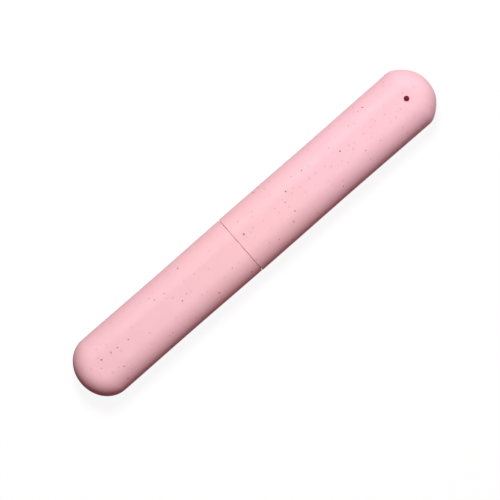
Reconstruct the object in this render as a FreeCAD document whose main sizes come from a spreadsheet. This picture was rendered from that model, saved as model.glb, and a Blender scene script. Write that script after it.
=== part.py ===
import FreeCAD, Part

# Toothbrush travel case: two moulded shells of one flattened-oval section that plug together.
#
# The short base ends in a thin neck. The longer cap is rebated inside its mouth to take that neck, so
# the neck and the cap's lip lap within one wall. The case is flush outside, and inside it is one
# straight space for a brush. The cap has a small air hole near its closed end.
#
# Frame: X runs along the case with the cap towards +X, Y runs across the broad face, Z is up.
# The closed case lies on its broad face, and the origin is under its middle, on what it lies on.

import math
import os
from types import SimpleNamespace

import Sketcher

# Driving dimensions in millimetres. Each one is a cell of the sheet, with its name as the alias.
SIZES = {
    "case_length": 210.0,  # closed case, from end to end
    "case_width": 30.4,  # across the broad face
    "case_thickness": 23.0,  # from broad face to broad face
    "base_length": 96.5,  # base, from its closed end to the seam
    "end_flatness": 0.8,  # radius of the plan's end arc beyond half the width
    "corner_margin": 0.4,  # radius of the plan's corners beyond that of the rounded edges
    "edge_land": 0.1,  # half the upright band that the two rounded edges leave between them
    "lip_wall": 0.85,  # wall of the cap beside the neck
    "neck_wall": 0.85,  # wall of the neck
    "neck_clearance": 0.1,  # between the neck and the cap's lip, on each side
    "neck_length": 18.0,  # how far the neck stands out of the base
    "neck_tip_gap": 0.4,  # between the neck's tip and the end of the rebate
    "seam_gap": 0.1,  # between the cap's rim and the base's shoulder
    "rim_radius": 0.15,  # rounding of the two outer rims at the seam
    "lead_in": 0.3,  # chamfer on the neck's tip and inside the cap's mouth
    "vent_diameter": 2.6,  # air hole
    "vent_setback": 12.86,  # from the cap's closed end to the middle of the air hole
    "vent_offset": 0.5,  # from the middle of the broad face to the middle of the air hole
    "cut_overrun": 1.0,  # how far a cut runs on past the wall that it goes through
}

NEAR = 1e-4  # how close two coordinates are when they count as the same
UP = FreeCAD.Vector(0, 0, 1)
HALF_TURN = FreeCAD.Rotation(UP, 180)
QUARTER = math.pi / 2

# The points of a sketch edge, and the sketch's own horizontal axis, as constraints number them.
START, END, CENTRE = range(1, 4)
AXIS = -1


class Length:
    """A length that carries both its value and the expression on the sheet that gives it."""

    def __init__(self, text, value):
        self.text = text
        self.value = value

    def __add__(self, other):
        return Length(f"({self.text} + {other.text})", self.value + other.value)

    def __sub__(self, other):
        return Length(f"({self.text} - {other.text})", self.value - other.value)

    def __rmul__(self, number):
        return Length(f"({number} * {self.text})", number * self.value)

    def __truediv__(self, number):
        return Length(f"({self.text} / {number})", self.value / number)


def smaller(a, b):
    """The smaller of two lengths."""
    return Length(f"min({a.text}; {b.text})", min(a.value, b.value))


doc = FreeCAD.newDocument("toothbrush_case")
sheet = doc.addObject("Spreadsheet::Sheet", "sizes")
for row, (alias, millimetres) in enumerate(SIZES.items(), start=1):
    sheet.set(f"A{row}", str(millimetres))
    sheet.setAlias(f"A{row}", alias)
doc.recompute()

sizes = SimpleNamespace(**{name: Length(f"sizes.{name}", value) for name, value in SIZES.items()})

# Lengths that follow from the driving dimensions.
nothing = Length("0", 0)
half_length = sizes.case_length / 2
half_width = sizes.case_width / 2
cap_length = sizes.case_length - sizes.base_length - sizes.seam_gap
neck_inset = sizes.lip_wall + sizes.neck_clearance
wall = neck_inset + sizes.neck_wall
seam_x = sizes.base_length - half_length
neck_tip_x = seam_x + sizes.neck_length
cap_mouth_x = seam_x + sizes.seam_gap
rebate_depth = sizes.neck_length + sizes.neck_tip_gap - sizes.seam_gap
edge_radius = smaller(sizes.case_thickness / 2, half_width - sizes.corner_margin) - sizes.edge_land
corner_radius = edge_radius + sizes.corner_margin
end_radius = half_width + sizes.end_flatness
end_centre_x = half_length - end_radius
vent_x = half_length - sizes.vent_setback


def new_body(label):
    """An empty body whose label names its file."""
    body = doc.addObject("PartDesign::Body", label)
    body.Label = label
    return body


def new_sketch(body, name, role, offset=nothing, turn=None):
    """A sketch on one of the body's own origin planes, moved off that plane by an offset."""
    plane = next(feature for feature in body.Origin.OriginFeatures if feature.Role == role)
    sketch = body.newObject("Sketcher::SketchObject", name)
    sketch.AttachmentSupport = [(plane, "")]
    sketch.MapMode = "FlatFace"
    if turn:
        sketch.AttachmentOffset = FreeCAD.Placement(FreeCAD.Vector(), turn)
    sketch.setExpression("AttachmentOffset.Base.z", offset.text)
    return sketch


def constrain(sketch, *terms):
    """Adds one geometric constraint to a sketch."""
    return sketch.addConstraint(Sketcher.Constraint(*terms))


def dimension(sketch, name, size, *terms):
    """Adds one dimension to a sketch, bound to the sheet."""
    index = constrain(sketch, *terms, size.value)
    sketch.renameConstraint(index, name)
    sketch.setExpression(f"Constraints.{name}", size.text)


def add_line(sketch, x_start, y_start, x_end, y_end):
    """Adds a straight edge to a sketch."""
    start = FreeCAD.Vector(x_start, y_start, 0)
    end = FreeCAD.Vector(x_end, y_end, 0)
    return sketch.addGeometry(Part.LineSegment(start, end))


def add_arc(sketch, x, y, radius, start, end):
    """Adds a circular arc to a sketch, from one angle anticlockwise to another, in radians."""
    circle = Part.Circle(FreeCAD.Vector(x, y, 0), UP, radius)
    return sketch.addGeometry(Part.ArcOfCircle(circle, start, end))


def draw_plan(sketch, open_run, inset):
    """Draws one shell's plan: straight sides, two corners, a flatter end arc and a square mouth.

    The closed end points along the sketch's own X. The open run goes from the end arc's centre to the
    mouth, and the inset draws all but the mouth in from the case's outside.
    """
    side = half_width - inset
    corner = corner_radius - inset
    end = end_radius - inset
    side_y = side.value
    corner_y = side_y - corner.value
    end_x = end_centre_x.value
    mouth_x = (end_centre_x - open_run).value
    corner_x = end_x + math.sqrt((end - corner).value ** 2 - corner_y**2)
    swing = math.atan2(corner_y, corner_x - end_x)

    side_a = add_line(sketch, mouth_x, -side_y, corner_x, -side_y)
    corner_a = add_arc(sketch, corner_x, -corner_y, corner.value, -QUARTER, -swing)
    tip = add_arc(sketch, end_x, 0, end.value, -swing, swing)
    corner_b = add_arc(sketch, corner_x, corner_y, corner.value, swing, QUARTER)
    side_b = add_line(sketch, corner_x, side_y, mouth_x, side_y)
    mouth = add_line(sketch, mouth_x, side_y, mouth_x, -side_y)

    chain = (side_a, corner_a, tip, corner_b, side_b)
    for first, second in zip(chain, chain[1:]):
        constrain(sketch, "Tangent", first, END, second, START)
    constrain(sketch, "Coincident", side_b, END, mouth, START)
    constrain(sketch, "Coincident", mouth, END, side_a, START)
    constrain(sketch, "Horizontal", side_a)
    constrain(sketch, "Horizontal", side_b)
    constrain(sketch, "Symmetric", mouth, START, mouth, END, AXIS)
    constrain(sketch, "PointOnObject", tip, CENTRE, AXIS)
    constrain(sketch, "Equal", corner_a, corner_b)
    dimension(sketch, "width", 2 * side, "Distance", mouth)
    dimension(sketch, "corner_radius", corner, "Radius", corner_a)
    dimension(sketch, "end_radius", end, "Radius", tip)
    dimension(sketch, "end_centre", end_centre_x, "DistanceX", AXIS, START, tip, CENTRE)
    dimension(sketch, "open_run", open_run, "DistanceX", mouth, START, tip, CENTRE)


def draw_section(sketch, name, inset):
    """Draws the case's section, drawn in from its outside by an inset: a rectangle with round corners."""
    side = half_width - inset
    high = sizes.case_thickness - inset
    corner = edge_radius - inset
    radius = corner.value
    y_right = side.value
    y_in = y_right - radius
    z_low = inset.value
    z_high = high.value

    bottom = add_line(sketch, -y_in, z_low, y_in, z_low)
    corner_a = add_arc(sketch, y_in, z_low + radius, radius, -QUARTER, 0)
    right = add_line(sketch, y_right, z_low + radius, y_right, z_high - radius)
    corner_b = add_arc(sketch, y_in, z_high - radius, radius, 0, QUARTER)
    top = add_line(sketch, y_in, z_high, -y_in, z_high)
    corner_c = add_arc(sketch, -y_in, z_high - radius, radius, QUARTER, 2 * QUARTER)
    left = add_line(sketch, -y_right, z_high - radius, -y_right, z_low + radius)
    corner_d = add_arc(sketch, -y_in, z_low + radius, radius, 2 * QUARTER, 3 * QUARTER)

    ring = (bottom, corner_a, right, corner_b, top, corner_c, left, corner_d)
    for first, second in zip(ring, ring[1:] + ring[:1]):
        constrain(sketch, "Tangent", first, END, second, START)
    for other in (corner_b, corner_c, corner_d):
        constrain(sketch, "Equal", corner_a, other)
    for level in (bottom, top):
        constrain(sketch, "Horizontal", level)
    for upright in (left, right):
        constrain(sketch, "Vertical", upright)
    dimension(sketch, f"{name}_corner", corner, "Radius", corner_a)
    dimension(sketch, f"{name}_right", side, "DistanceX", AXIS, START, right, START)
    dimension(sketch, f"{name}_left", side, "DistanceX", left, START, AXIS, START)
    dimension(sketch, f"{name}_low", inset, "DistanceY", AXIS, START, bottom, START)
    dimension(sketch, f"{name}_high", high, "DistanceY", AXIS, START, top, START)


def pad(body, name, sketch, depth):
    """Raises a sketch along its normal."""
    feature = body.newObject("PartDesign::Pad", name)
    feature.Profile = sketch
    feature.setExpression("Length", depth.text)
    doc.recompute()
    return feature


def pocket(body, name, sketch, depth, along_normal=False):
    """Cuts a sketch into the body, against the sketch's normal unless told otherwise."""
    volume_before = body.Shape.Volume
    feature = body.newObject("PartDesign::Pocket", name)
    feature.Profile = sketch
    feature.Reversed = along_normal
    feature.setExpression("Length", depth.text)
    doc.recompute()
    if body.Shape.Volume >= volume_before:
        raise RuntimeError(f"{name} cuts nothing")
    return feature


def near(a, b):
    """True for two coordinates that count as the same."""
    return abs(a - b) < NEAR


def lies_across(edge, x):
    """True for an edge that lies wholly in the plane square to the case at x."""
    box = edge.BoundBox
    return near(box.XMin, x) and near(box.XMax, x)


def lies_level(edge, z):
    """True for an edge that lies wholly in the level plane at z."""
    box = edge.BoundBox
    return near(box.ZMin, z) and near(box.ZMax, z)


def section_edges(feature, x, inset):
    """The names of the edges at x that belong to the section drawn in by an inset."""
    side = (half_width - inset).value
    low = inset.value
    high = (sizes.case_thickness - inset).value

    def belongs(edge):
        reach = max(abs(edge.BoundBox.YMin), abs(edge.BoundBox.YMax))
        return near(reach, side) or lies_level(edge, low) or lies_level(edge, high)

    edges = enumerate(feature.Shape.Edges, start=1)
    return [f"Edge{i}" for i, edge in edges if lies_across(edge, x.value) and belongs(edge)]


def round_edges(body, name, base, edges, radius):
    """Rounds the named edges of a feature."""
    feature = body.newObject("PartDesign::Fillet", name)
    feature.Base = (base, edges)
    feature.setExpression("Radius", radius.text)
    doc.recompute()
    return feature


def chamfer_edges(body, name, base, edges, size):
    """Chamfers the named edges of a feature."""
    feature = body.newObject("PartDesign::Chamfer", name)
    feature.Base = (base, edges)
    feature.setExpression("Size", size.text)
    doc.recompute()
    return feature


def long_edges(feature, inset):
    """The names of the upper and lower edges that run round the plan drawn in by an inset.

    Those of the mouth run straight across, so they are left sharp.
    """
    low = inset.value
    high = (sizes.case_thickness - inset).value

    def runs_round(edge):
        return edge.BoundBox.XLength > NEAR and (lies_level(edge, low) or lies_level(edge, high))

    return [f"Edge{i}" for i, edge in enumerate(feature.Shape.Edges, start=1) if runs_round(edge)]


def add_shell(body, shell_length, turn=None):
    """Adds a hollow shell with one closed end.

    A block has the same block, drawn in by the wall, cut out of it, and then both are rounded.
    """
    open_run = shell_length - end_radius
    outside = new_sketch(body, f"{body.Label}_outside", "XY_Plane", turn=turn)
    draw_plan(outside, open_run, nothing)
    pad(body, f"{body.Label}_block", outside, sizes.case_thickness)

    inside = new_sketch(body, f"{body.Label}_inside", "XY_Plane", offset=wall, turn=turn)
    draw_plan(inside, open_run + sizes.cut_overrun, wall)
    depth = sizes.case_thickness - 2 * wall
    hollow = pocket(body, f"{body.Label}_hollow", inside, depth, along_normal=True)

    inner_edges = long_edges(hollow, wall)
    inner = round_edges(body, f"{body.Label}_inner_rounding", hollow, inner_edges, edge_radius - wall)
    round_edges(body, f"{body.Label}_outer_rounding", inner, long_edges(inner, nothing), edge_radius)


def make_base():
    """The short shell, with the neck that the cap slides over."""
    body = new_body("base_shell")
    add_shell(body, sizes.base_length, turn=HALF_TURN)

    ring = new_sketch(body, "neck_section", "YZ_Plane", offset=seam_x)
    draw_section(ring, "outer", neck_inset)
    draw_section(ring, "inner", wall)
    neck = pad(body, "neck", ring, sizes.neck_length)

    shoulder = section_edges(neck, seam_x, nothing)
    rim = round_edges(body, "base_rim", neck, shoulder, sizes.rim_radius)
    tip = section_edges(rim, neck_tip_x, neck_inset)
    chamfer_edges(body, "neck_lead_in", rim, tip, sizes.lead_in)
    return body


def make_cap():
    """The long shell, rebated inside its mouth for the neck, with the air hole."""
    body = new_body("cap_shell")
    add_shell(body, cap_length)

    mouth = new_sketch(body, "rebate_section", "YZ_Plane", offset=cap_mouth_x)
    draw_section(mouth, "rebate", sizes.lip_wall)
    rebate = pocket(body, "rebate", mouth, rebate_depth, along_normal=True)

    outer = section_edges(rebate, cap_mouth_x, nothing)
    rim = round_edges(body, "cap_rim", rebate, outer, sizes.rim_radius)
    inner = section_edges(rim, cap_mouth_x, sizes.lip_wall)
    chamfer_edges(body, "mouth_lead_in", rim, inner, sizes.lead_in)

    hole = new_sketch(body, "vent_circle", "XY_Plane", offset=sizes.case_thickness)
    centre = FreeCAD.Vector(vent_x.value, sizes.vent_offset.value, 0)
    edge = hole.addGeometry(Part.Circle(centre, UP, (sizes.vent_diameter / 2).value))
    dimension(hole, "diameter", sizes.vent_diameter, "Diameter", edge)
    dimension(hole, "along", vent_x, "DistanceX", AXIS, START, edge, CENTRE)
    dimension(hole, "across", sizes.vent_offset, "DistanceY", AXIS, START, edge, CENTRE)
    pocket(body, "vent", hole, wall + sizes.cut_overrun)
    return body


def check(bodies):
    """Stops the build if an object failed, a sketch is loose or a shell is not one sound solid."""
    doc.recompute()
    for item in doc.Objects:
        if "Invalid" in item.State or "Error" in item.State:
            raise RuntimeError(f"{item.Label} failed: {item.State}")
        if item.isDerivedFrom("Sketcher::SketchObject") and not item.FullyConstrained:
            raise RuntimeError(f"{item.Label} is not fully constrained")
    for body in bodies:
        shape = body.Shape
        if shape.isNull() or not shape.isValid() or len(shape.Solids) != 1:
            raise RuntimeError(f"{body.Label} is not one valid solid")
        box = shape.optimalBoundingBox(False, False)
        print(
            f"{body.Label}: {shape.Volume:.1f} mm3, x {box.XMin:.2f} to {box.XMax:.2f},"
            f" y {box.YMin:.2f} to {box.YMax:.2f}, z {box.ZMin:.2f} to {box.ZMax:.2f}"
        )


def main():
    base = make_base()
    cap = make_cap()
    check((base, cap))
    print(f"overlap of the two shells: {base.Shape.common(cap.Shape).Volume:.6f} mm3")
    os.makedirs("parts", exist_ok=True)
    for body in (base, cap):
        body.Shape.exportStep(f"parts/{body.Label}.step")


main()
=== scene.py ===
# %% [markdown]
# # A speckled toothbrush travel case
# The real case is two moulded shells of pink plastic that plug together: a short base with a thin neck, and
# a long cap that slides over the neck. This lesson dresses a finished CAD model of it in Blender.
# The CAD model comes in first as a fixed frame. Its sizes are read from there, so that every piece made
# below lands in the right place without fitting, and its box is printed.

# %% Load the frame
import math

import bmesh
import bpy
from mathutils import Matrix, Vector


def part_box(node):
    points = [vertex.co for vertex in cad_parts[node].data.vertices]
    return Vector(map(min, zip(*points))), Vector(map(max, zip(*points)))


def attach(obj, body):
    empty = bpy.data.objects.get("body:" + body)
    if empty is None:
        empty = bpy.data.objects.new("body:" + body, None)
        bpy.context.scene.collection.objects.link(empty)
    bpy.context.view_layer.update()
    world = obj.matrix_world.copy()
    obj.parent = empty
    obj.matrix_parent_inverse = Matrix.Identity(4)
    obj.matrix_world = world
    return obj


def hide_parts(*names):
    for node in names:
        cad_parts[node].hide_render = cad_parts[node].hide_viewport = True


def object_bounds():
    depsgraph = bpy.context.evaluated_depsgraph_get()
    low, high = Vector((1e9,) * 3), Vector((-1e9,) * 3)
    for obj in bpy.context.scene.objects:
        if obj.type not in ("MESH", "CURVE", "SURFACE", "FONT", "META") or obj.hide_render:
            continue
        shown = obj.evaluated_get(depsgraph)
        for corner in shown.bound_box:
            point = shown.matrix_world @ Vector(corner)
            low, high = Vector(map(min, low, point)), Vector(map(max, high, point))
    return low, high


MM = 0.001
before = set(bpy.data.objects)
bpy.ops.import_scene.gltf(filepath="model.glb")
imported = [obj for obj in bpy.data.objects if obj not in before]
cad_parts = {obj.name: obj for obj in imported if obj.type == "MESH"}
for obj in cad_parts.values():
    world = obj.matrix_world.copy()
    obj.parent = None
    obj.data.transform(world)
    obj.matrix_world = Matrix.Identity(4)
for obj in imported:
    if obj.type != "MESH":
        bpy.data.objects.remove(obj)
cad_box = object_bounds()


def in_mm(lengths):
    """Turns lengths in metres into rounded millimetres, for printing."""
    return [round(length / MM, 2) for length in lengths]


print("CAD box, mm:", [in_mm(corner) for corner in cad_box])

# %% [markdown]
# # Sizes of the mouldings
# A maker works from a handful of sizes. The outside ones come from the CAD boxes. The walls and the neck are
# hidden, so they are written here as the mould drawing would give them. The seam is read from the photo: it
# shows a little wider than the fit needs, and lies a hair nearer to the base. Seen from above, each end of
# the case is a little flatter than a half circle, so its outline is half an ellipse: as wide as the case,
# but less deep. All through the lesson, lengths have names in small letters and are kept in metres, unless
# the name ends in mm, while counts, shares, angles and colours have names in capitals.

# %% Sizes of the mouldings
base_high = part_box("base_shell")[1]
cap_low, cap_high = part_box("cap_shell")
half_width = cap_high.y
thickness = cap_high.z
middle_z = thickness / 2
end_depth = 13.28 * MM
end_centre = cap_high.x - end_depth
edge_radius = 11.4 * MM
flat_half = half_width - edge_radius
wall = 1.8 * MM
lip_wall = 0.85 * MM
neck_wall = 0.85 * MM
neck_tip_x = base_high.x
seam_shift = 0.08 * MM
seam_gap = 0.22 * MM
mouth_x = cap_low.x - seam_shift
shoulder_x = mouth_x - seam_gap
print("case, mm:", in_mm((2 * cap_high.x, 2 * half_width, thickness)))

# %% [markdown]
# # Picking parts of a mesh
# In edit mode an operator works on whatever is selected. By hand one would click a face or drag a box round
# some vertices. A script clicks by asking a question of every vertex, edge or face, such as whether it lies
# on a certain plane, and selects those that answer yes.

# %% Picking parts of a mesh
tiny = 1e-6


def take_up(piece):
    """Selects one piece alone and makes it the active one."""
    bpy.ops.object.select_all(action="DESELECT")
    piece.select_set(True)
    bpy.context.view_layer.objects.active = piece


def pick(kind, test):
    """In edit mode, selects the vertices, edges or faces that pass the test, and nothing else."""
    bpy.ops.mesh.select_mode(type=kind)
    bpy.ops.mesh.select_all(action="DESELECT")
    data = bpy.context.edit_object.data
    mesh = bmesh.from_edit_mesh(data)
    items = {"VERT": mesh.verts, "EDGE": mesh.edges, "FACE": mesh.faces}[kind]
    chosen = [item for item in items if test(item)]
    for item in chosen:
        item.select_set(True)
    mesh.select_flush_mode()
    bmesh.update_edit_mesh(data)
    return len(chosen)


def push(x=0.0, y=0.0, z=0.0):
    """Extrudes what is selected by the given distance."""
    bpy.ops.mesh.extrude_region_move(TRANSFORM_OT_translate={"value": (x, y, z)})


def at_x(item, x):
    """Tells whether a face or an edge lies wholly on the plane across the case at x."""
    return all(abs(vertex.co.x - x) < tiny for vertex in item.verts)


print("places count as the same within", tiny, "m")

# %% [markdown]
# # A solid with one round end
# Both shells share the same outside: a long bar with a rounded end and a section like a flattened oval. It
# could be lofted from many drawn sections, but a bar with rounded edges is what it really is, so it is made
# as one: draw the plan from a circle, pull the sides out to the mouth, fill it, raise it to the full
# thickness, and bevel the rim all round with a large radius. The bevel stops at the mouth, where it leaves
# the oval section. Two things go beyond a plain rounded bar, and both are read from the shading in the photo.
# The bevel is a little fuller than a quarter circle. The top and the underside also reach further out over
# the end, which makes it blunter: they are pushed along X, and the faces around them follow less and less.

# %% A solid with one round end
OUTLINE_STEPS = 256
EDGE_STEPS = 28
EDGE_FULLNESS = 0.53
end_push = 2.0 * MM
push_reach = 14 * MM
push_margin = 1 * MM


def on_flat(vertex, drop):
    """Tells whether a vertex lies on the flat top or the flat underside of a bar."""
    return abs(abs(vertex.co.z - middle_z) - (middle_z - drop)) < tiny


def round_ended_bar(name, side, end_x, drop):
    """Makes a solid and stays in edit mode.

    Its round end points along side, +1 or -1 in X, its flat mouth is at end_x, and its skin lies lower than
    the outside of the case by drop.
    """
    wide = half_width - drop
    bpy.ops.object.select_all(action="DESELECT")
    bpy.ops.mesh.primitive_circle_add(vertices=OUTLINE_STEPS, radius=wide, location=(0, 0, 0))
    piece = bpy.context.object
    piece.name = name
    bpy.ops.object.mode_set(mode="EDIT")
    pick("VERT", lambda vertex: vertex.co.x * side < -tiny)
    bpy.ops.mesh.delete(type="VERT")
    bpy.ops.mesh.select_all(action="SELECT")
    bpy.ops.transform.resize(value=(end_depth / wide, 1, 1), center_override=(0, 0, 0))
    bpy.ops.transform.translate(value=(side * end_centre, 0, drop))
    pick("VERT", lambda vertex: abs(vertex.co.x - side * end_centre) < tiny)
    push(x=end_x - side * end_centre)
    bpy.ops.mesh.select_all(action="SELECT")
    bpy.ops.mesh.edge_face_add()
    push(z=thickness - 2 * drop)
    bpy.ops.mesh.select_all(action="SELECT")
    bpy.ops.mesh.normals_make_consistent(inside=False)
    pick("EDGE", lambda edge: abs(edge.verts[0].co.z - edge.verts[1].co.z) < tiny and not at_x(edge, end_x))
    bpy.ops.mesh.bevel(
        offset=edge_radius - drop,
        segments=EDGE_STEPS,
        profile=EDGE_FULLNESS,
        affect="EDGES",
        clamp_overlap=False,
    )
    pick("VERT", lambda vertex: vertex.co.x * side > end_centre - push_margin and on_flat(vertex, drop))
    bpy.ops.transform.translate(
        value=(side * end_push, 0, 0),
        use_proportional_edit=True,
        proportional_edit_falloff="SMOOTH",
        proportional_size=push_reach,
    )
    return piece


print("edge radius and push of the ends, mm:", in_mm((edge_radius, end_push)))

# %% [markdown]
# # Hollowing out a shell
# An injection mould shapes the inside with a steel core. Here the mouth face is the start of that core: it is
# inset by a wall and pushed down the middle. The far end is rounded in steps, each one pushed a little
# further and scaled in a little more along a quarter circle, so that the wall stays at least as thick as
# elsewhere. Insets would do the same, but on a narrow face their small errors add up and throw corners far
# away.

# %% Hollowing out a shell
CORE_STEPS = 10
core_radius = edge_radius - wall
core_half_width = half_width - wall
core_half_height = middle_z - wall


def hollow(side, from_x):
    """Pushes the selected mouth face down to the closed end of the shell and rounds the bottom."""
    push(x=side * end_centre - from_x)
    for step in range(1, CORE_STEPS):
        before = math.radians(90 * (step - 1) / CORE_STEPS)
        after = math.radians(90 * step / CORE_STEPS)
        drawn_before = core_radius * (1 - math.cos(before))
        drawn_after = core_radius * (1 - math.cos(after))
        push(x=side * core_radius * (math.sin(after) - math.sin(before)))
        narrower = (core_half_width - drawn_after) / (core_half_width - drawn_before)
        lower = (core_half_height - drawn_after) / (core_half_height - drawn_before)
        bpy.ops.transform.resize(value=(1, narrower, lower), center_override=(0, 0, middle_z))


print("core, mm:", in_mm((2 * core_half_width, 2 * core_half_height)))

# %% [markdown]
# # Rounding a rim
# No moulded rim is knife sharp. It has a small radius that catches the light, and where two shells plug
# together a larger one leads them in. A bevel on the ring of edges gives both. A ring is found by its place
# along the case and by its size, which tells the outer edge of a rim from the inner one.

# %% Rounding a rim
RIM_FULLNESS = 0.5
ring_under = 0.05 * MM
ring_over = 0.4 * MM


def ring_size(vertex):
    """How far a point of a section lies from the flat strip along the middle of the case."""
    across = max(abs(vertex.co.y) - flat_half, 0.0)
    upright = max(abs(vertex.co.z - middle_z) - (middle_z - edge_radius), 0.0)
    return math.hypot(across, upright)


def round_rim(x, size, radius, steps):
    """Rounds the ring of edges that runs round the section at x, at one size of ring."""

    def on_ring(edge):
        if not at_x(edge, x):
            return False
        return all(-ring_under < ring_size(vertex) - size < ring_over for vertex in edge.verts)

    count = pick("EDGE", on_ring)
    bpy.ops.mesh.bevel(
        offset=radius, segments=steps, profile=RIM_FULLNESS, affect="EDGES", clamp_overlap=False
    )
    print("rounded", count, "edges at x, mm:", in_mm((x,)))


# %% [markdown]
# # Checking a piece
# A moulding is a closed skin. A wrong inset or a failed cut leaves edges with only one face, which may not
# show in a picture but spoils the mesh for every other use. So each piece is measured after each step.

# %% Checking a piece
CUBIC_MM = MM ** 3


def report(piece):
    """Prints a piece's size and whether its skin is closed."""
    mesh = bmesh.new()
    mesh.from_mesh(piece.data)
    open_edges = sum(1 for edge in mesh.edges if not edge.is_manifold)
    low = in_mm(min(vertex.co[i] for vertex in mesh.verts) for i in range(3))
    high = in_mm(max(vertex.co[i] for vertex in mesh.verts) for i in range(3))
    volume = round(mesh.calc_volume(signed=True) / CUBIC_MM)
    print(piece.name, len(mesh.faces), "faces, open edges", open_edges, "volume mm3", volume, low, high)
    mesh.free()


print("to check:", sorted(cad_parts))

# %% [markdown]
# # The base
# The base is the short shell. Its mouth has a shoulder, and a thin neck stands out of it for the cap to slide
# over. On the real case the cap's lip stands a hair proud of the base, which is why the base's skin lies
# lower by a tenth of a millimetre. Towards the seam the rim rolls off gently, so that the seam shows as a
# thin line with soft borders. The neck could be a tube of its own, joined on by a Boolean, but an inset for
# the shoulder, an extrude for the neck and another inset and extrude for the inside keep all of it one skin.
# Rings of edges are cut across the long sides, for the waist to bend at later.

# %% The base
FACING = 0.99
BASE_RINGS = 13
ring_step = 6 * MM
base_drop = 0.13 * MM
roll_length = 0.55 * MM
roll_drop = 0.125 * MM
shoulder_rim = 0.1 * MM
lead_in = 0.3 * MM
inner_rim = 0.15 * MM


def slice_across(places):
    """Cuts a ring of edges round the solid at each place along X."""
    for place in places:
        bpy.ops.mesh.select_all(action="SELECT")
        bpy.ops.mesh.bisect(plane_co=(place, 0, 0), plane_no=(1, 0, 0))


base = round_ended_bar("base", -1, shoulder_x, base_drop)
slice_across([shoulder_x - roll_length])
slice_across(shoulder_x - ring_step * step for step in range(1, BASE_RINGS + 1))
pick("FACE", lambda face: face.normal.x > FACING and at_x(face, shoulder_x))
bpy.ops.transform.resize(
    value=(1, 1 - roll_drop / half_width, 1 - roll_drop / middle_z),
    center_override=(shoulder_x, 0, middle_z),
)
bpy.ops.mesh.inset(thickness=wall - neck_wall - base_drop - roll_drop)
push(x=neck_tip_x - shoulder_x)
bpy.ops.mesh.inset(thickness=neck_wall)
hollow(-1, neck_tip_x)
round_rim(shoulder_x, edge_radius - base_drop - roll_drop, shoulder_rim, steps=4)
round_rim(neck_tip_x, edge_radius - wall + neck_wall, lead_in, steps=2)
round_rim(neck_tip_x, edge_radius - wall, inner_rim, steps=2)
bpy.ops.object.mode_set(mode="OBJECT")
report(base)

# %% [markdown]
# # The cap's round end
# Seen from above, the cap's end is a rounder arc than the base's and meets the sides in a soft corner. It
# could be drawn so in the plan, but a bevel with a large radius cannot turn round such a corner. So the end
# is shaped after the bevel: its flanks are scaled in, and nearer to the sides they are scaled out again.

# %% The cap's round end
ARC_ANGLE = 45
CORNER_ANGLE = 78
arc_draw = 0.7 * MM
arc_reach = 7.5 * MM
corner_swell = 0.11 * MM
corner_reach = 2.7 * MM
flank_band = 0.3 * MM


def shape_cap_end(degrees, draw, reach):
    """Draws in the flanks of the end at an angle from its tip, and what lies within reach with them."""
    flank_x = end_centre + end_depth * math.cos(math.radians(degrees))
    count = pick("VERT", lambda vertex: abs(vertex.co.x - flank_x) < flank_band)
    bpy.ops.transform.resize(
        value=(1, 1 - draw / half_width, 1),
        center_override=(0, 0, middle_z),
        use_proportional_edit=True,
        proportional_edit_falloff="SMOOTH",
        proportional_size=reach,
    )
    print("shaped the end at", count, "vertices,", degrees, "degrees from the tip")


cap = round_ended_bar("cap", 1, mouth_x, 0.0)
shape_cap_end(ARC_ANGLE, arc_draw, arc_reach)
shape_cap_end(CORNER_ANGLE, -corner_swell, corner_reach)

# %% [markdown]
# # The cap's inside
# The cap is the long shell. Inside its mouth a rebate makes room for the neck: the lip is left thin for the
# length of the neck, then the wall steps in to its full thickness. A Boolean with a stepped core would cut
# that as well, but the same inset and extrude as on the base, done twice, leave cleaner rings to round.

# %% The cap's inside
CAP_RINGS = 16
lip_rim = 0.18 * MM
rebate_gap = 0.4 * MM
rebate_x = neck_tip_x + rebate_gap
slice_across(mouth_x + ring_step * step for step in range(1, CAP_RINGS + 1))
pick("FACE", lambda face: face.normal.x < -FACING and at_x(face, mouth_x))
bpy.ops.mesh.inset(thickness=lip_wall)
push(x=rebate_x - mouth_x)
bpy.ops.mesh.inset(thickness=wall - lip_wall)
hollow(1, rebate_x)
round_rim(mouth_x, edge_radius, lip_rim, steps=3)
round_rim(mouth_x, edge_radius - lip_wall, lead_in, steps=2)
round_rim(rebate_x, edge_radius - wall, inner_rim, steps=2)
bpy.ops.object.mode_set(mode="OBJECT")
report(cap)

# %% [markdown]
# # The air hole
# A wet brush has to dry, so the cap has one small round hole near its closed end. On the mould it is a pin.
# The same pin is made here from a cylinder. At the top it flares a little in three steps, and that flare will
# leave a softened edge round the hole. A bevel on the finished hole could do it too, but its edges would
# first have to be found again on the curved skin.

# %% The pin for the air hole
PIN_SIDES = 64
hole_x = 92.14 * MM
hole_y = 0.5 * MM
hole_radius = 1.3 * MM
pin_overrun = 1.0 * MM
flare_steps = ((0.03 * MM, 0.01 * MM), (0.02 * MM, 0.02 * MM), (0.01 * MM, 0.03 * MM))
pin_low = thickness - wall - pin_overrun
pin_high = thickness - sum(rise for rise, flare in flare_steps)
bpy.ops.object.select_all(action="DESELECT")
bpy.ops.mesh.primitive_cylinder_add(
    vertices=PIN_SIDES,
    radius=hole_radius,
    depth=pin_high - pin_low,
    location=(hole_x, hole_y, (pin_low + pin_high) / 2),
)
pin = bpy.context.object
pin.name = "air_hole_pin"
bpy.ops.object.transform_apply(location=True, rotation=False, scale=False)
bpy.ops.object.mode_set(mode="EDIT")
pick("FACE", lambda face: face.normal.z > FACING)
for rise, flare in flare_steps:
    push(z=rise)
    wider = 1 + flare / hole_radius
    bpy.ops.transform.resize(value=(wider, wider, 1), center_override=(hole_x, hole_y, thickness))
push(z=pin_overrun)
bpy.ops.object.mode_set(mode="OBJECT")
report(pin)

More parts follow.
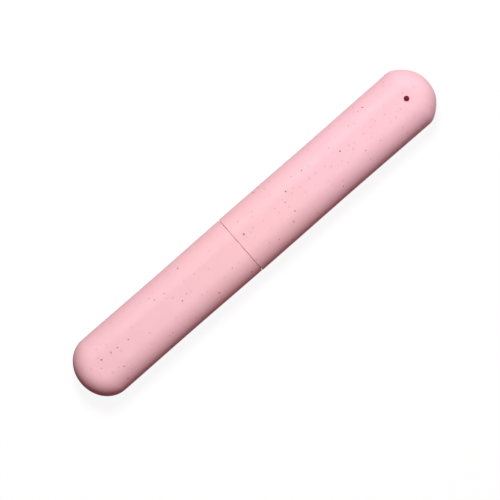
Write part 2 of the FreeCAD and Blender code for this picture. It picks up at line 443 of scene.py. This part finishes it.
# %% [markdown]
# # Cutting the air hole
# By hand one might draw the hole into the top, delete its faces and bridge it to the inner wall. A Boolean
# modifier does all that in one step and leaves the skin closed. Its exact solver is the safe one where the
# pin meets many small faces. After the cut the pin is no longer needed.

# %% Cutting the air hole
take_up(cap)
drill = cap.modifiers.new("air_hole", "BOOLEAN")
drill.operation = "DIFFERENCE"
drill.solver = "EXACT"
drill.object = pin
bpy.ops.object.modifier_apply(modifier=drill.name)
bpy.data.objects.remove(pin)
report(cap)

# %% [markdown]
# # The waist
# Long mouldings shrink as they cool, and the long sides sink in a little. In the photo each shell is about a
# third of a millimetre narrower in its middle than at its ends. A lattice could bend it so, but proportional
# editing does it in one step: one ring is scaled in, and the rings on both sides follow it less and less.

# %% The waist
TOP_SHARE = 0.5
base_waist_x = shoulder_x - 7 * ring_step
base_sink = 0.17 * MM
base_reach = 44 * MM
cap_waist_x = mouth_x + 9 * ring_step
cap_sink = 0.18 * MM
cap_reach = 52 * MM


def draw_in(piece, place, sink, reach):
    """Scales in the ring at a place along X, and its neighbours with it as far as reach."""
    take_up(piece)
    bpy.ops.object.mode_set(mode="EDIT")
    count = pick("VERT", lambda vertex: abs(vertex.co.x - place) < tiny)
    bpy.ops.transform.resize(
        value=(1, 1 - sink / half_width, 1 - TOP_SHARE * sink / middle_z),
        center_override=(place, 0, middle_z),
        use_proportional_edit=True,
        proportional_edit_falloff="SMOOTH",
        proportional_size=reach,
    )
    bpy.ops.object.mode_set(mode="OBJECT")
    print("drew in", count, "vertices of", piece.name)


draw_in(base, base_waist_x, base_sink, base_reach)
draw_in(cap, cap_waist_x, cap_sink, cap_reach)
report(base)
report(cap)

# %% [markdown]
# # Smooth shading
# The bevels are fine enough to shade smoothly, while the rims and the neck's corners should stay crisp.
# Smooth by angle does both. The weighted normals then lean on the large faces, so that the flat top shades
# evenly.

# %% Smooth shading
SHARP_ANGLE = 32
weld_distance = 1e-7
for piece in (base, cap):
    take_up(piece)
    bpy.ops.object.mode_set(mode="EDIT")
    bpy.ops.mesh.select_all(action="SELECT")
    bpy.ops.mesh.remove_doubles(threshold=weld_distance)
    bpy.ops.object.mode_set(mode="OBJECT")
    bpy.ops.object.shade_smooth_by_angle(angle=math.radians(SHARP_ANGLE))
    lean = piece.modifiers.new("lean_on_large_faces", "WEIGHTED_NORMAL")
    lean.keep_sharp = True
    bpy.ops.object.modifier_apply(modifier=lean.name)
    report(piece)

# %% [markdown]
# # The speckled plastic
# The plastic is pink and satin, filled with ground plant fibre. Up close there are dark reddish specks of
# very different strength, strewn unevenly, in a ground that is faintly cloudy. All of it runs through the
# thickness of the wall, so the pattern is worked out in three dimensions from Object coordinates: where the
# skin cuts a speck, one sees a spot. A picture on the surface would stretch round the ends, so none is used.
# The helpers below add nodes to whichever node tree is in hand, and each new material starts its own tree.

# %% Helpers for nodes
MIX_COLOURS = (6, 7)
MIX_RESULT = 2
plastic = bpy.data.materials.new("speckled_pink_plastic")
plastic.use_nodes = True
tree = plastic.node_tree
shader = tree.nodes["Principled BSDF"]


def feed(socket, value):
    """Links an input to another node's socket, or sets it to a plain value."""
    if isinstance(value, bpy.types.NodeSocket):
        tree.links.new(value, socket)
    else:
        socket.default_value = value


def add(kind, settings=None, **inputs):
    """Adds a node, sets its settings and feeds its inputs, named by their words or as i0, i1 and so on."""
    node = tree.nodes.new(kind)
    for name, value in (settings or {}).items():
        setattr(node, name, value)
    for name, value in inputs.items():
        key = int(name[1:]) if name[0] == "i" and name[1:].isdigit() else name.replace("_", " ")
        feed(node.inputs[key], value)
    return node


def math_node(operation, first, second=0.0):
    """A Math node with two inputs."""
    return add("ShaderNodeMath", {"operation": operation}, i0=first, i1=second).outputs[0]


def ramp_between(value, low, high, to_low=0.0, to_high=1.0):
    """Maps a value from one range to another, smoothly and without overshoot."""
    node = add("ShaderNodeMapRange", {"interpolation_type": "SMOOTHSTEP"}, Value=value)
    limits = {"From Min": low, "From Max": high, "To Min": to_low, "To Max": to_high}
    for name, limit in limits.items():
        feed(node.inputs[name], limit)
    return node.outputs[0]


def colour_mix(amount, first, second):
    """Mixes two colours."""
    node = add("ShaderNodeMix", {"data_type": "RGBA"}, Factor=amount)
    for index, value in zip(MIX_COLOURS, (first, second)):
        feed(node.inputs[index], value)
    return node.outputs[MIX_RESULT]


point = add("ShaderNodeTexCoord").outputs["Object"]
point_mm = add("ShaderNodeMapping", Vector=point, Scale=(1 / MM, 1 / MM, 1 / MM)).outputs[0]
print("material", plastic.name)

# %% [markdown]
# # Specks
# A Voronoi pattern scatters one point in every cell of a grid and gives each cell its own random colour. The
# three parts of that colour decide whether the cell holds a speck, how large it is and how dark. The points
# are warped a little first, so that the specks are ragged instead of round, and a broad noise crowds them in
# some places. Four such layers lie over one another: a few clear specks, small ones, large faint ones and a
# fine dust. Modelling each speck would take thousands of tiny pieces and show no better.

# %% Specks
WARP = (0.34, 0.34, 0.34)
NOISE_LOW = 0.3
NOISE_HIGH = 0.7
CROWDED = 1.6
SPARSE = 0.5
wobble = add("ShaderNodeTexNoise", Vector=point_mm, Scale=2.6, Detail=2.0).outputs["Color"]
warp = add("ShaderNodeVectorMath", {"operation": "MULTIPLY_ADD"}, i0=wobble, i1=WARP, i2=point_mm)
warped = warp.outputs[0]
crowding = add("ShaderNodeTexNoise", Vector=point_mm, Scale=0.075, Detail=1.0).outputs[0]


def specks(cell, share, smallest, largest, faintest, darkest, soft):
    """A layer of specks.

    It takes the cell size in mm, the share of cells that hold a speck, the radius range in mm, the strength
    range, and how much of the radius the soft border takes.
    """
    cells = add("ShaderNodeTexVoronoi", {"voronoi_dimensions": "3D"}, Vector=warped, Scale=1 / cell)
    chance = add("ShaderNodeSeparateColor", Color=cells.outputs["Color"])
    distance = math_node("MULTIPLY", cells.outputs["Distance"], cell)
    radius = ramp_between(chance.outputs[1], 0.0, 1.0, smallest, largest)
    inside = math_node("SUBTRACT", 1.0, math_node("DIVIDE", distance, radius))
    spot = ramp_between(inside, 0.0, soft)
    crowd = ramp_between(crowding, NOISE_LOW, NOISE_HIGH, 1.0 - CROWDED * share, 1.0 - SPARSE * share)
    held = math_node("GREATER_THAN", chance.outputs[0], crowd)
    strength = ramp_between(chance.outputs[2], 0.0, 1.0, faintest, darkest)
    return math_node("MULTIPLY", math_node("MULTIPLY", spot, held), strength)


clear = specks(cell=3.0, share=0.3, smallest=0.22, largest=0.52, faintest=0.75, darkest=1.0, soft=0.3)
small = specks(cell=2.3, share=0.2, smallest=0.12, largest=0.3, faintest=0.4, darkest=0.9, soft=0.35)
faint = specks(cell=2.6, share=0.55, smallest=0.4, largest=0.95, faintest=0.05, darkest=0.21, soft=0.9)
dust = specks(cell=1.1, share=0.4, smallest=0.05, largest=0.12, faintest=0.2, darkest=0.6, soft=0.5)
all_specks = clear
for layer in (small, faint, dust):
    all_specks = math_node("MAXIMUM", all_specks, layer)
print("nodes for the specks:", len(tree.nodes))

# %% [markdown]
# # Ground colour, gloss and skin
# The ground is two close pinks, mixed by a soft cloudy noise as poorly stirred pigment would be. Towards both
# ends of the case the pink turns a touch cooler, most of all on the cap. The skin of a moulding is not a
# mirror: a very fine bump and an uneven roughness give it the satin look. One flat colour would be simpler,
# but it looks like paint.

# %% Ground colour, gloss and skin
PALE_PINKS = ((0.864, 0.53, 0.572, 1), (0.879, 0.544, 0.587, 1))
COOL_PINKS = ((0.862, 0.532, 0.597, 1), (0.877, 0.546, 0.613, 1))
SPECK_RED = (0.27, 0.045, 0.05, 1)
BASE_COOLNESS = 0.5
GRAIN_LOW = 0.25
GRAIN_HIGH = 0.75
GLOSSIEST = 0.56
DULLEST = 0.66
cap_cools_mm = (14.0, 44.0)
base_cools_mm = (-60.0, -16.0)
bump_height = 0.02 * MM
cloud = add("ShaderNodeTexNoise", Vector=point_mm, Scale=0.11, Detail=3.0, Roughness=0.55).outputs[0]
cloudy = ramp_between(cloud, NOISE_LOW, NOISE_HIGH)
along_mm = add("ShaderNodeSeparateXYZ", Vector=point_mm).outputs[0]
cap_coolness = ramp_between(along_mm, *cap_cools_mm)
base_coolness = ramp_between(along_mm, *base_cools_mm, BASE_COOLNESS, 0.0)
coolness = math_node("ADD", cap_coolness, base_coolness)
ground = colour_mix(coolness, colour_mix(cloudy, *PALE_PINKS), colour_mix(cloudy, *COOL_PINKS))
feed(shader.inputs["Base Color"], colour_mix(all_specks, ground, SPECK_RED))
grain = add("ShaderNodeTexNoise", Vector=point_mm, Scale=3.5, Detail=3.0).outputs[0]
feed(shader.inputs["Roughness"], ramp_between(grain, GRAIN_LOW, GRAIN_HIGH, GLOSSIEST, DULLEST))
skin = add("ShaderNodeBump", Strength=0.12, Distance=bump_height, Height=grain)
feed(shader.inputs["Normal"], skin.outputs[0])
feed(shader.inputs["IOR"], 1.49)
feed(shader.inputs["Specular IOR Level"], 0.55)
print("nodes in the plastic:", len(tree.nodes))

# %% [markdown]
# # The light inside
# The wall is thin, so some daylight soaks through it and the inside of the closed case glows a dull wine red.
# That is the colour that the air hole shows. A true volume would take long to render for one small spot, so
# the inner wall gets a copy of the plastic with a faint red emission. Its faces are the ones that look
# inwards.

# %% The light inside
INWARDS = 0.1
core_slack = 0.4 * MM
inner_plastic = plastic.copy()
inner_plastic.name = "speckled_pink_plastic_inside"
inner_shader = inner_plastic.node_tree.nodes["Principled BSDF"]
inner_shader.inputs["Emission Color"].default_value = (1.0, 0.17, 0.27, 1)
inner_shader.inputs["Emission Strength"].default_value = 0.042


def looks_inwards(face):
    """Tells whether a face belongs to the inner wall, which looks towards the middle of the case."""
    centre = face.calc_center_median()
    if max(ring_size(vertex) for vertex in face.verts) > core_radius + core_slack:
        return False
    spine_x = max(-end_centre, min(end_centre, centre.x))
    spine_y = max(-flat_half, min(flat_half, centre.y))
    outwards = centre - Vector((spine_x, spine_y, middle_z))
    return face.normal.dot(outwards) < -INWARDS * outwards.length


print("material", inner_plastic.name)

# %% [markdown]
# # Dressing the shells
# Each shell gets both plastics. It is then tied to the CAD model: it rides on the body that moves it and
# takes the place of the plain solid. Without that, a mesh would stay behind when the cap is pulled off.

# %% Dressing the shells
for piece, body, node in ((base, "base", "base_shell"), (cap, "cap", "cap_shell")):
    piece.data.materials.clear()
    piece.data.materials.append(plastic)
    piece.data.materials.append(inner_plastic)
    take_up(piece)
    bpy.ops.object.mode_set(mode="EDIT")
    count = pick("FACE", looks_inwards)
    piece.active_material_index = 1
    bpy.ops.object.material_slot_assign()
    bpy.ops.object.mode_set(mode="OBJECT")
    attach(piece, body)
    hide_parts(node)
    print(piece.name, "has", count, "faces inside")

# %% [markdown]
# # The floor
# The picture to match is a product shot from straight above on white. A plain white floor would throw light
# on the case from all sides, which the photo does not show. So what the camera sees of the floor is mostly
# its own white, with a little paint that takes the shadow, while the case sees another paint: a table with
# painted light on one side and painted, warmer shade on the other. The painted light brightens the upper
# flank of the case, and the painted shade leaves the lower flank dark. Reflections in the case see the same
# painted light and shade, near white and near black. Around the base's closed end the table's painted shade
# is darker still, because the rim there is the darkest in the photo.

# %% The floor
WHITE = (1, 1, 1, 1)
# The table's paints are painted light and shade: a lit side, a warmer shaded side, deeper painted shade past
# the base's end, and the painted light and shade that reflections see.
LIT_PAINT = (0.53, 0.53, 0.53, 1)
SHADED_PAINT = (0.4, 0.27, 0.28, 1)
END_SHADE_PAINT = (0.2, 0.12, 0.125, 1)
LIT_MIRRORED = (0.95, 0.95, 0.95, 1)
SHADED_MIRRORED = (0.02, 0.02, 0.02, 1)
SHADOW_PAINT = (0.105, 0.105, 0.105, 1)
OWN_WHITE = 0.915
TOWARDS_LAMP = (0.25, 0.97, 0.0)
TOWARDS_CAP = (1.0, 0.0, 0.0)
floor_size = 6.0
half_border = 20 * MM
dark_until_x = -120 * MM
dark_fades_x = -85 * MM


def along(direction):
    """How far a point of the floor lies along a direction, in metres from the origin."""
    point = add("ShaderNodeTexCoord").outputs["Object"]
    node = add("ShaderNodeVectorMath", {"operation": "DOT_PRODUCT"}, i0=point, i1=direction)
    return node.outputs["Value"]


bpy.ops.object.select_all(action="DESELECT")
bpy.ops.mesh.primitive_plane_add(size=floor_size, location=(0, 0, 0))
floor = bpy.context.object
floor.name = "floor"
floor_paint = bpy.data.materials.new("pale_floor")
floor_paint.use_nodes = True
tree = floor_paint.node_tree
tree.nodes.clear()
lit_side = ramp_between(along(TOWARDS_LAMP), -half_border, half_border)
table_colour = colour_mix(lit_side, SHADED_PAINT, LIT_PAINT)
past_base = ramp_between(along(TOWARDS_CAP), dark_until_x, dark_fades_x)
table = add("ShaderNodeBsdfDiffuse", Color=colour_mix(past_base, END_SHADE_PAINT, table_colour))
# Reflections see painted light on the lit side of the table and painted shade on the other side.
painted_reflection = add("ShaderNodeBsdfDiffuse", Color=colour_mix(lit_side, SHADED_MIRRORED, LIT_MIRRORED))
own_white = add("ShaderNodeEmission", Color=WHITE, Strength=OWN_WHITE)
shadow = add("ShaderNodeBsdfDiffuse", Color=SHADOW_PAINT)
shown = add("ShaderNodeAddShader", i0=own_white.outputs[0], i1=shadow.outputs[0]).outputs[0]
rays = add("ShaderNodeLightPath").outputs
seen = math_node("MAXIMUM", rays["Is Camera Ray"], rays["Is Transmission Ray"])
other = add("ShaderNodeMixShader", i0=rays["Is Glossy Ray"], i1=table.outputs[0], i2=painted_reflection.outputs[0])
surface = add("ShaderNodeMixShader", i0=seen, i1=other.outputs[0], i2=shown)
add("ShaderNodeOutputMaterial", Surface=surface.outputs[0])
floor.data.materials.append(floor_paint)
print("floor at z", floor.location.z)

# %% [markdown]
# # The lamps
# A soft main lamp stands towards the top of the picture, so that the lower right side falls into shade. A low
# lamp far beyond the cap's end brightens that end. It stands far off on purpose: close by, it would burn out
# the cap when that is pulled off towards it.

# %% The lamps
scene = bpy.context.scene


def soft_lamp(name, turn, rise, distance, size, power):
    """Hangs a round lamp, aimed at the case.

    It takes the turn from +X and the rise in degrees, distance and size in metres, and power in watts.
    """
    data = bpy.data.lights.new(name, "AREA")
    data.shape = "DISK"
    data.size = size
    data.energy = power
    lamp = bpy.data.objects.new(name, data)
    level = distance * math.cos(math.radians(rise))
    lamp.location = (
        level * math.cos(math.radians(turn)),
        level * math.sin(math.radians(turn)),
        middle_z + distance * math.sin(math.radians(rise)),
    )
    lamp.rotation_euler = (-lamp.location).to_track_quat("-Z", "Y").to_euler()
    scene.collection.objects.link(lamp)
    print(name, "at", [round(v, 3) for v in lamp.location])


soft_lamp("main_lamp", turn=58, rise=66, distance=1.0, size=0.3, power=9.85)
soft_lamp("end_lamp", turn=-4, rise=2, distance=1.0, size=0.2, power=2.8)

# %% [markdown]
# # The room
# The room around gives a faint warm fill, as light that has soaked through pink plastic would, and shows
# plain white where the camera or a reflection looks at it. A white room that also lit the case would wash out
# its shaded side.

# %% The room
WARM_FILL = (0.14, 0.028, 0.033, 1)
world = bpy.data.worlds.new("studio")
scene.world = world
world.use_nodes = True
tree = world.node_tree
tree.nodes.clear()
rays = add("ShaderNodeLightPath").outputs
seen = math_node("MAXIMUM", rays["Is Camera Ray"], rays["Is Transmission Ray"])
seen = math_node("MAXIMUM", seen, rays["Is Glossy Ray"])
room = add("ShaderNodeBackground", Color=colour_mix(seen, WARM_FILL, WHITE), Strength=1.0)
add("ShaderNodeOutputWorld", Surface=room.outputs[0])
print("world", world.name)

# %% [markdown]
# # The camera
# The photo looks straight down with hardly any perspective, so the camera hangs high with a long lens. It is
# turned about its own axis until the case lies across the picture as in the photo.

# %% The camera
CAMERA_TURN = -41.15
lens_mm = 630.9
sensor_mm = 36.0
camera_x = -6.85 * MM
camera_y = -4.52 * MM
camera_rise = 4.0
camera_data = bpy.data.cameras.new("camera")
camera_data.sensor_width = sensor_mm
camera_data.lens = lens_mm
camera = bpy.data.objects.new("camera", camera_data)
camera.location = (camera_x, camera_y, middle_z + camera_rise)
camera.rotation_euler = (0, 0, math.radians(CAMERA_TURN))
scene.collection.objects.link(camera)
scene.camera = camera
scene.view_settings.view_transform = "Standard"
print("camera at", [round(v, 3) for v in camera.location])
